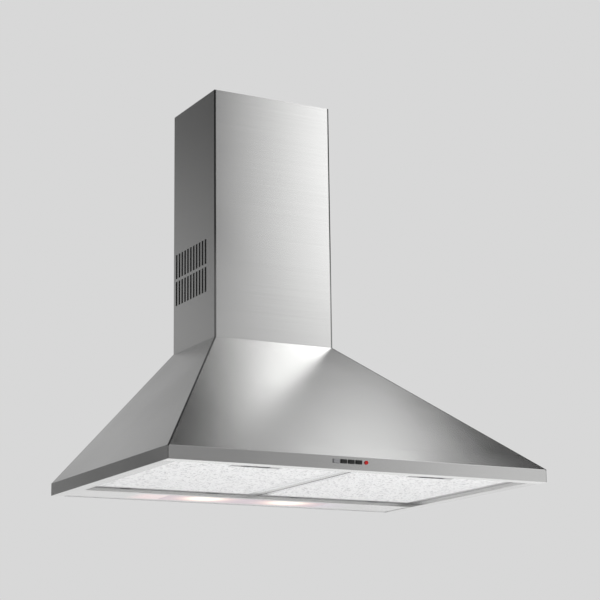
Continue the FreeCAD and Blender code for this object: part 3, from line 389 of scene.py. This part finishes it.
def opal_cover():
    material, nodes, links, shader = start_material("Opal cover")
    place, axis = place_on_piece(nodes, links)
    side = math_node(nodes, links, "ABSOLUTE", axis["X"])
    off_along = math_node(nodes, links, "SUBTRACT", side, GLOW_X)
    off_across = math_node(nodes, links, "SUBTRACT", axis["Y"], GLOW_Y)
    along = math_node(nodes, links, "DIVIDE", off_along, GLOW_LENGTH)
    across = math_node(nodes, links, "DIVIDE", off_across, GLOW_WIDTH)
    spread = math_node(nodes, links, "ADD", math_node(nodes, links, "MULTIPLY", along, along),
                       math_node(nodes, links, "MULTIPLY", across, across))
    glow = math_node(nodes, links, "EXPONENT", math_node(nodes, links, "MULTIPLY", spread, -1.0))
    links.new(colour_ramp(nodes, links, glow, GLOW_COLOURS), shader.inputs["Emission Color"])
    shader.inputs["Emission Strength"].default_value = 1.0
    milky = noise(nodes, links, place, 60.0)
    links.new(mixed(nodes, links, milky, OPAL_DARK, OPAL_LIGHT), shader.inputs["Base Color"])
    shader.inputs["Roughness"].default_value = 0.5
    shader.inputs["Specular IOR Level"].default_value = 0.15
    return material


dress(opal_cover(), "lamp_cover")

# ---- Lamp bulbs ----------------------------------------------------------
# Candle bulbs of frosted glass, lit, one in a holder at each end of the tray.
# The frost is a little uneven, so the warm light is too.
WARM_DARK = (1.0, 0.86, 0.66, 1)
WARM_LIGHT = (1.0, 0.92, 0.76, 1)


def lamp_glass():
    material, nodes, links, shader = start_material("Lamp glass")
    place, _ = place_on_piece(nodes, links)
    frost = noise(nodes, links, place, 120.0)
    tone = mixed(nodes, links, frost, WARM_DARK, WARM_LIGHT)
    links.new(tone, shader.inputs["Emission Color"])
    links.new(tone, shader.inputs["Base Color"])
    shader.inputs["Emission Strength"].default_value = 1.6
    shader.inputs["Roughness"].default_value = 0.3
    return material


dress(lamp_glass(), "lamp_bulb_left", "lamp_bulb_right")

# ---- Light panel ---------------------------------------------------------
# The folded steel strip along the rear that holds the lamp cover. Lamp light
# spills past both ends of the cover, pink on the left and violet on the right.
SPILL_REACH = 0.24
SPILL_NEAR, SPILL_FAR = 0.022, 0.042
NO_LIGHT = (0, 0, 0, 1)
SPILL_COLOURS = (
    (0.0, NO_LIGHT),
    (0.06, (0.20, 0.08, 0.08, 1)),
    (0.16, (0.20, 0.10, 0.10, 1)),
    (0.84, (0.05, 0.015, 0.06, 1)),
    (0.90, (0.03, 0.01, 0.04, 1)),
    (1.0, NO_LIGHT),
)


def spill_lamp_light(material, cover_line):
    """Faint lamp light on the steel, strongest along the line of the cover's middle."""
    nodes, links = material.node_tree.nodes, material.node_tree.links
    shader = main_shader(material)
    _, axis = place_on_piece(nodes, links)
    along = fade(nodes, links, axis["X"], -SPILL_REACH, SPILL_REACH)
    spill = colour_ramp(nodes, links, along, SPILL_COLOURS)
    off_line = math_node(nodes, links, "ABSOLUTE",
                         math_node(nodes, links, "SUBTRACT", axis["Y"], cover_line))
    near = fade(nodes, links, off_line, SPILL_NEAR, SPILL_FAR, 1.0, 0.0, "SMOOTHSTEP")
    links.new(mixed(nodes, links, near, NO_LIGHT, spill), shader.inputs["Emission Color"])
    shader.inputs["Emission Strength"].default_value = 1.0


cover_low, cover_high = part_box("lamp_cover")
panel_steel = brushed_steel("Light panel steel", STEEL_TONE, UNDERSIDE_GRAIN, STEEL_SHEEN)
spill_lamp_light(panel_steel, round((cover_low.y + cover_high.y) / 2, 4))
dress(panel_steel, "light_panel")

# ---- Grease filters ------------------------------------------------------
# A rolled aluminium channel round a pleated pad of aluminium mesh, knitted so
# fine that only its sheen flickers from point to point. A black plastic latch
# slides in a pressed plate, a duller sheet, at the front.
PLATE_NEAR, PLATE_FAR = 0.128, 0.224
PLATE_FRONT, PLATE_REAR = -0.497, -0.4375
PLATE_TONE = (0.40, 0.40, 0.40, 1)
CHANNEL_TONE = (0.76, 0.76, 0.77)
CHANNEL_GRAIN = (2.5, 400, 2.5)
MESH_FACET = 0.0016


def metal_facets():
    """Bright metal in small facets that differ in tone; a share of them is turned away and dark."""
    group, nodes, links, given, result = start_group(
        "Metal facets",
        [("Facets to the metre", "NodeSocketFloat", 600.0), ("Dark", "NodeSocketColor", (0.5, 0.5, 0.5, 1)),
         ("Light", "NodeSocketColor", (0.9, 0.9, 0.9, 1)), ("Dark share", "NodeSocketFloat", 0.25)],
        [("Colour", "NodeSocketColor"), ("Height", "NodeSocketFloat")],
    )
    place, _ = place_on_piece(nodes, links)
    chance, distance = random_patches(nodes, links, place, given["Facets to the metre"])
    start = math_node(nodes, links, "MULTIPLY", given["Dark share"], 0.5)
    end = math_node(nodes, links, "MULTIPLY", given["Dark share"], 1.5)
    towards = fade(nodes, links, chance["Red"], start, end)
    links.new(mixed(nodes, links, towards, given["Dark"], given["Light"]), result["Colour"])
    links.new(distance, result["Height"])
    return group


METAL_FACETS = metal_facets()


def glittering(name, pitch, dark, light, dark_share):
    """Aluminium that glitters in facets one pitch wide."""
    material, nodes, links, shader = start_material(name)
    facets = place_group(nodes, METAL_FACETS, {
        "Facets to the metre": 1.0 / pitch,
        "Dark": (dark, dark, dark * 1.01, 1),
        "Light": (light, light, light, 1),
        "Dark share": dark_share,
    })
    links.new(facets["Colour"], shader.inputs["Base Color"])
    raise_surface(nodes, links, shader, facets["Height"], 0.4, 0.0008)
    shader.inputs["Metallic"].default_value = 0.3
    shader.inputs["Roughness"].default_value = 0.4
    return material


def darken_plate(material):
    """The pressed latch plate, the same on both filters, is duller than the channel round it."""
    nodes, links = material.node_tree.nodes, material.node_tree.links
    colour = main_shader(material).inputs["Base Color"]
    _, axis = place_on_piece(nodes, links)
    side = math_node(nodes, links, "ABSOLUTE", axis["X"])
    on_plate = math_node(nodes, links, "GREATER_THAN", side, PLATE_NEAR)
    for test, value, limit in (("LESS_THAN", side, PLATE_FAR), ("GREATER_THAN", axis["Y"], PLATE_FRONT),
                               ("LESS_THAN", axis["Y"], PLATE_REAR)):
        passed = math_node(nodes, links, test, value, limit)
        on_plate = math_node(nodes, links, "MULTIPLY", on_plate, passed)
    bright = colour.links[0].from_socket
    links.new(mixed(nodes, links, on_plate, bright, PLATE_TONE, "MULTIPLY"), colour)


filter_metal = brushed_steel("Filter aluminium", CHANNEL_TONE, CHANNEL_GRAIN, 0.3)
darken_plate(filter_metal)
latch_plastic = moulded("Latch plastic", (0.010, 0.010, 0.011), 0.6)
main_shader(latch_plastic).inputs["Specular IOR Level"].default_value = 0.1
dress(filter_metal, "filter_frame_left", "filter_frame_right")
dress(glittering("Aluminium mesh", MESH_FACET, 0.46, 0.90, 0.25), "filter_mesh_left", "filter_mesh_right")
dress(latch_plastic, "filter_latch_left", "filter_latch_right")

# ---- Face sheets of the grease filters -----------------------------------
# Each pad rests on a sheet of expanded aluminium: slit, drawn out to 10 x 5 mm
# diamonds with 1 mm strands, and cut away round the latch plate.
DIAMOND = 0.010
STRAND = 0.001
STRAND_FACET = 0.0034
CELLS = 116
SHEET_INSET = 0.011
SHEET_DROP = 0.00035
PLATE_GAP = 0.0005
strand_metal = glittering("Strand aluminium", STRAND_FACET, 0.61, 0.92, 0.17)


def face_sheet(side, hand):
    """The expanded sheet of one filter; hand is -1 for the left one."""
    pad_low, pad_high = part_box(f"filter_mesh_{side}")
    left = round(pad_low.x + SHEET_INSET, 4)
    right = round(pad_high.x - SHEET_INSET, 4)
    front = round(pad_low.y + SHEET_INSET, 4)
    rear = round(pad_high.y - SHEET_INSET, 4)
    level = round(pad_low.z - SHEET_DROP, 5)
    cut_left, cut_right = sorted((hand * (PLATE_NEAR - PLATE_GAP), hand * (PLATE_FAR + PLATE_GAP)))
    bpy.ops.object.select_all(action="DESELECT")
    bpy.ops.mesh.primitive_grid_add(x_subdivisions=CELLS, y_subdivisions=CELLS,
                                    size=CELLS * DIAMOND / sqrt(2), location=(0, 0, 0))
    sheet = bpy.context.active_object
    sheet.name = f"filter_face_{side}"
    bpy.ops.object.mode_set(mode="EDIT")
    bpy.ops.mesh.select_mode(type="FACE")
    bpy.ops.mesh.select_all(action="SELECT")
    bpy.ops.transform.rotate(value=radians(45), orient_axis="Z", center_override=(0, 0, 0))
    bpy.ops.transform.resize(value=(1, 0.5, 1), center_override=(0, 0, 0))
    bpy.ops.transform.translate(value=((left + right) / 2, (front + rear) / 2, 0))
    for point, way, trim in (
        ((left, 0, 0), (1, 0, 0), True), ((right, 0, 0), (-1, 0, 0), True),
        ((0, front, 0), (0, 1, 0), True), ((0, rear, 0), (0, -1, 0), True),
        ((0, PLATE_REAR, 0), (0, 1, 0), False),
        ((cut_left, 0, 0), (1, 0, 0), False), ((cut_right, 0, 0), (1, 0, 0), False),
    ):
        bpy.ops.mesh.select_all(action="SELECT")
        bpy.ops.mesh.bisect(plane_co=point, plane_no=way, clear_inner=trim)
    bpy.ops.mesh.select_all(action="DESELECT")
    bpy.ops.object.mode_set(mode="OBJECT")
    for face in sheet.data.polygons:
        face.select = cut_left < face.center.x < cut_right and face.center.y < PLATE_REAR
    bpy.ops.object.mode_set(mode="EDIT")
    bpy.ops.mesh.delete(type="FACE")
    bpy.ops.object.mode_set(mode="OBJECT")
    strands = sheet.modifiers.new("strands", "WIREFRAME")
    strands.thickness = STRAND
    strands.use_even_offset = False
    strands.use_boundary = True
    bpy.ops.object.modifier_apply(modifier=strands.name)
    bpy.ops.object.mode_set(mode="EDIT")
    bpy.ops.mesh.select_all(action="SELECT")
    bpy.ops.transform.resize(value=(1, 1, 0.5), center_override=(0, 0, 0))
    bpy.ops.transform.translate(value=(0, 0, level))
    bpy.ops.mesh.normals_make_consistent(inside=False)
    bpy.ops.object.mode_set(mode="OBJECT")
    sheet.data.materials.append(strand_metal)
    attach(sheet, f"filter_{side}")


face_sheet("left", -1)
face_sheet("right", 1)

# ---- Push buttons --------------------------------------------------------
# Four moulded keys in the rim's windows, a grey one for the light and three
# black ones for the speeds, each pushed out by its spring.
dress(moulded("Button grey", (0.22, 0.22, 0.23), 0.35), "button_light")
dress(moulded("Button black", (0.004, 0.004, 0.0045), 0.45),
      "button_speed_1", "button_speed_2", "button_speed_3")

# ---- Pilot lamp ----------------------------------------------------------
# A clear red lens at the end of the row of keys, snapped into a round hole
# in the rim, with a faint glow from behind.
pilot_red = moulded("Pilot red", (0.34, 0.002, 0.002), 0.15, 0.05)
pilot_shader = main_shader(pilot_red)
pilot_shader.inputs["Emission Color"].default_value = (0.7, 0.004, 0.004, 1)
pilot_shader.inputs["Emission Strength"].default_value = 0.08
dress(pilot_red, "pilot_lamp")

# ---- Floor and room ------------------------------------------------------
# A plain pale floor below the hood in a pale room. Eye and mirror see the
# floor paler than it lights the hood, which brings it near the room's tone.
FLOOR_LEVEL = -1.05
FLOOR_SIZE = 14
FLOOR_LIT = (0.72, 0.72, 0.72, 1)
FLOOR_SEEN = (0.96, 0.96, 0.96, 1)
ROOM_TONE = (0.686, 0.686, 0.686, 1)

bpy.ops.mesh.primitive_plane_add(size=FLOOR_SIZE, location=(0, 0, 0))
floor = bpy.context.active_object
floor.name = "floor"
floor.data.transform(Matrix.Translation((0, 0, FLOOR_LEVEL)))
floor_paint, nodes, links, shader = start_material("Floor paint")
ray = nodes.new("ShaderNodeLightPath").outputs
in_mirror = math_node(nodes, links, "MAXIMUM", ray["Is Glossy Ray"], ray["Is Transmission Ray"])
seen = math_node(nodes, links, "MAXIMUM", ray["Is Camera Ray"], in_mirror)
links.new(mixed(nodes, links, seen, FLOOR_LIT, FLOOR_SEEN), shader.inputs["Base Color"])
shader.inputs["Roughness"].default_value = 0.9
shader.inputs["Specular IOR Level"].default_value = 0.1
floor.data.materials.append(floor_paint)

world = bpy.data.worlds.new("Room")
bpy.context.scene.world = world
world.use_nodes = True
background = world.node_tree.nodes["Background"]
background.inputs["Color"].default_value = ROOM_TONE
background.inputs["Strength"].default_value = 1.0

# ---- Wall behind the chimney ---------------------------------------------
# The piece of kitchen wall that closes the chimney's open back: dark low
# down and paler towards the top. From behind it is see-through.
WALL_MARGIN = 0.003
WALL_DISTANCE = 0.0015
WALL_DARK, WALL_PALE = 0.10, 0.60
PALE_START, PALE_END = 0.60, 0.74

wall_width = chimney_high.x - chimney_low.x - 2 * WALL_MARGIN
wall_height = chimney_high.z - chimney_low.z
wall_middle = (chimney_high.z + chimney_low.z) / 2
bpy.ops.mesh.primitive_plane_add(size=1, location=(0, 0, 0))
wall = bpy.context.active_object
wall.name = "wall behind the chimney"
wall.data.transform(Matrix.Diagonal((wall_width, wall_height, 1, 1)))
wall.data.transform(Matrix.Rotation(radians(90), 4, "X"))
wall.data.transform(Matrix.Translation((0, WALL_DISTANCE, wall_middle)))
wall_paint, nodes, links, shader = start_material("Wall paint")
_, axis = place_on_piece(nodes, links)
tone = fade(nodes, links, axis["Z"], PALE_START, PALE_END, WALL_DARK, WALL_PALE, "SMOOTHSTEP")
links.new(tone, shader.inputs["Base Color"])
shader.inputs["Roughness"].default_value = 0.8
behind = nodes.new("ShaderNodeNewGeometry").outputs["Backfacing"]
depth = nodes.new("ShaderNodeLightPath").outputs["Transparent Depth"]
passed = math_node(nodes, links, "GREATER_THAN", depth, 0.5)
clear = nodes.new("ShaderNodeBsdfTransparent")
either = nodes.new("ShaderNodeMixShader")
links.new(math_node(nodes, links, "MAXIMUM", behind, passed), either.inputs["Fac"])
links.new(shader.outputs[0], either.inputs[1])
links.new(clear.outputs[0], either.inputs[2])
links.new(either.outputs[0], nodes["Material Output"].inputs["Surface"])
wall.data.materials.append(wall_paint)

# ---- Light panels round the hood -----------------------------------------
# Four soft-edged panels that are seen only in reflections, as a studio has
# for steel. Each is brighter and darker where the photograph's steel is.
SLANT = 0.25


def glow_ramps(nodes, links):
    """Tools for a panel's brightness: ramps along its axes or the slant, and joins of them."""
    _, axis = place_on_piece(nodes, links)
    ways = {name: axis[name] for name in "XYZ"}
    ways["slant"] = math_node(nodes, links, "MULTIPLY_ADD", axis["Y"], SLANT, axis["X"])

    def ramp(way, start, end, low, high, kind="SMOOTHSTEP"):
        return fade(nodes, links, ways[way], start, end, low, high, kind)

    def join(operation, first, *others):
        for other in others:
            first = math_node(nodes, links, operation, first, other)
        return first

    return ramp, join


def panel(name, facing, distance, across, along, glow):
    """A flat panel that faces along Y or Z; glow(ramp, join) gives its brightness by place."""
    bpy.ops.mesh.primitive_plane_add(size=1, location=(0, 0, 0))
    board = bpy.context.active_object
    board.name = name
    board.data.transform(Matrix.Diagonal((across[1] - across[0], along[1] - along[0], 1, 1)))
    board.data.transform(Matrix.Translation((sum(across) / 2, sum(along) / 2, 0)))
    if facing == "Y":
        board.data.transform(Matrix.Rotation(radians(90), 4, "X"))
        board.data.transform(Matrix.Translation((0, distance, 0)))
    else:
        board.data.transform(Matrix.Translation((0, 0, distance)))
    material, nodes, links, shader = start_material(name)
    nodes.remove(shader)
    light = nodes.new("ShaderNodeEmission")
    links.new(glow(*glow_ramps(nodes, links)), light.inputs["Strength"])
    links.new(light.outputs[0], nodes["Material Output"].inputs["Surface"])
    board.data.materials.append(material)
    board.visible_camera = False
    board.visible_diffuse = False
    board.visible_shadow = False
    board.visible_transmission = False
    board.visible_volume_scatter = False


def back_glow(ramp, join):
    """What the left sides mirror: brighter to the right, darker high up and low down."""
    sideways_rise = join("ADD", ramp("X", -1.2, -0.6, 0.17, 0.47, "LINEAR"),
                         ramp("X", -0.6, 0.0, 0.0, 0.08, "LINEAR"))
    return join("MULTIPLY", sideways_rise, ramp("Z", 0.62, 1.26, 1.0, 0.34, "LINEAR"),
                ramp("Z", 0.25, 0.6, 0.62, 1.0, "LINEAR"))


def low_glow(ramp, join):
    """What the underside mirrors: nearly even."""
    return ramp("Z", -1.04, -0.4, 0.7, 0.93, "LINEAR")


def front_glow(ramp, join):
    """What the rim mirrors low down, and the chimney's front high up."""
    rim_part = join("MULTIPLY", ramp("Z", 0.2, 0.95, 1.0, 0.0), ramp("X", -0.07, 0.9, 0.33, 0.83))
    chimney_part = join("MULTIPLY", ramp("Z", 0.2, 0.95, 0.0, 1.0),
                        join("MAXIMUM", ramp("X", 0.2, 0.85, 0.1, 1.78), ramp("X", -0.1, 0.28, 0.62, 0.1)))
    return join("ADD", rim_part, chimney_part)


def top_glow(ramp, join):
    """Two bright patches that the canopy's front mirrors, in a soft grey ceiling."""
    right_patch = join("MULTIPLY", ramp("X", 0.35, 1.04, 0.0, 1.48), ramp("slant", 1.10, 1.39, 1.0, 0.0),
                       ramp("Y", 0.08, 0.56, 1.0, 0.08), ramp("Y", -0.35, -0.05, 0.0, 1.0))
    front_patch = join("MULTIPLY", ramp("X", 0.46, 0.92, 0.0, 3.9), ramp("X", 1.15, 1.5, 1.0, 0.0),
                       ramp("Y", -0.5, -0.2, 1.0, 0.0), ramp("Y", -1.7, -1.2, 0.0, 1.0))
    ceiling = join("MAXIMUM", ramp("X", -0.25, 0.30, 0.55, 0.01), ramp("X", 1.9, 2.7, 0.01, 0.5),
                   ramp("Y", 0.60, 1.3, 0.01, 0.5))
    return join("ADD", right_patch, front_patch, ceiling)


panel("back panel light", "Y", 1.2, (-1.7, 0.45), (0.02, 1.7), back_glow)
panel("low panel light", "Y", 1.2, (-1.6, 2.6), (-1.04, 0.0), low_glow)
panel("front panel light", "Y", -1.2, (-0.6, 1.7), (-0.1, 1.6), front_glow)
panel("top panel light", "Z", 1.6, (-0.6, 4.0), (-3.0, 3.0), top_glow)

# ---- Studio lamps --------------------------------------------------------
# Three soft boxes light the plastic, the mesh and the floor evenly: one from
# the right, one from above and one from below. The steel doesn't mirror them.


def soft_box(name, place, aim, width, height, watts):
    """A rectangular lamp that faces a point."""
    lamp = bpy.data.lights.new(name, "AREA")
    lamp.shape = "RECTANGLE"
    lamp.size = width
    lamp.size_y = height
    lamp.energy = watts
    holder = bpy.data.objects.new(name, lamp)
    holder.location = place
    holder.rotation_euler = (Vector(aim) - Vector(place)).to_track_quat("-Z", "Y").to_euler()
    holder.visible_glossy = False
    bpy.context.collection.objects.link(holder)


soft_box("key", (1.45, -1.35, 0.95), (0.0, -0.2, 0.5), 1.2, 1.5, 12)
soft_box("top", (0.2, -1.0, 2.2), (0.0, -0.2, 0.3), 1.6, 1.2, 12)
soft_box("below", (0.0, -0.6, -0.95), (0.0, -0.3, 0.0), 1.6, 1.4, 13)

# ---- Camera --------------------------------------------------------------
# It stands where the photograph's camera did, low and to the left, as fitted
# to the corners of the rim and the chimney.
camera = bpy.data.objects.new("camera", bpy.data.cameras.new("camera"))
bpy.context.collection.objects.link(camera)
camera.location = (-1.5477, -3.1160, -0.4138)
camera.rotation_euler = (radians(103.399), radians(0.791), radians(-28.876))
camera.data.sensor_width = 36
camera.data.lens = 106.39
camera.data.shift_x = -0.0183
camera.data.shift_y = -0.0027
camera.data.clip_end = 60
bpy.context.scene.camera = camera
bpy.context.scene.view_settings.view_transform = "Standard"
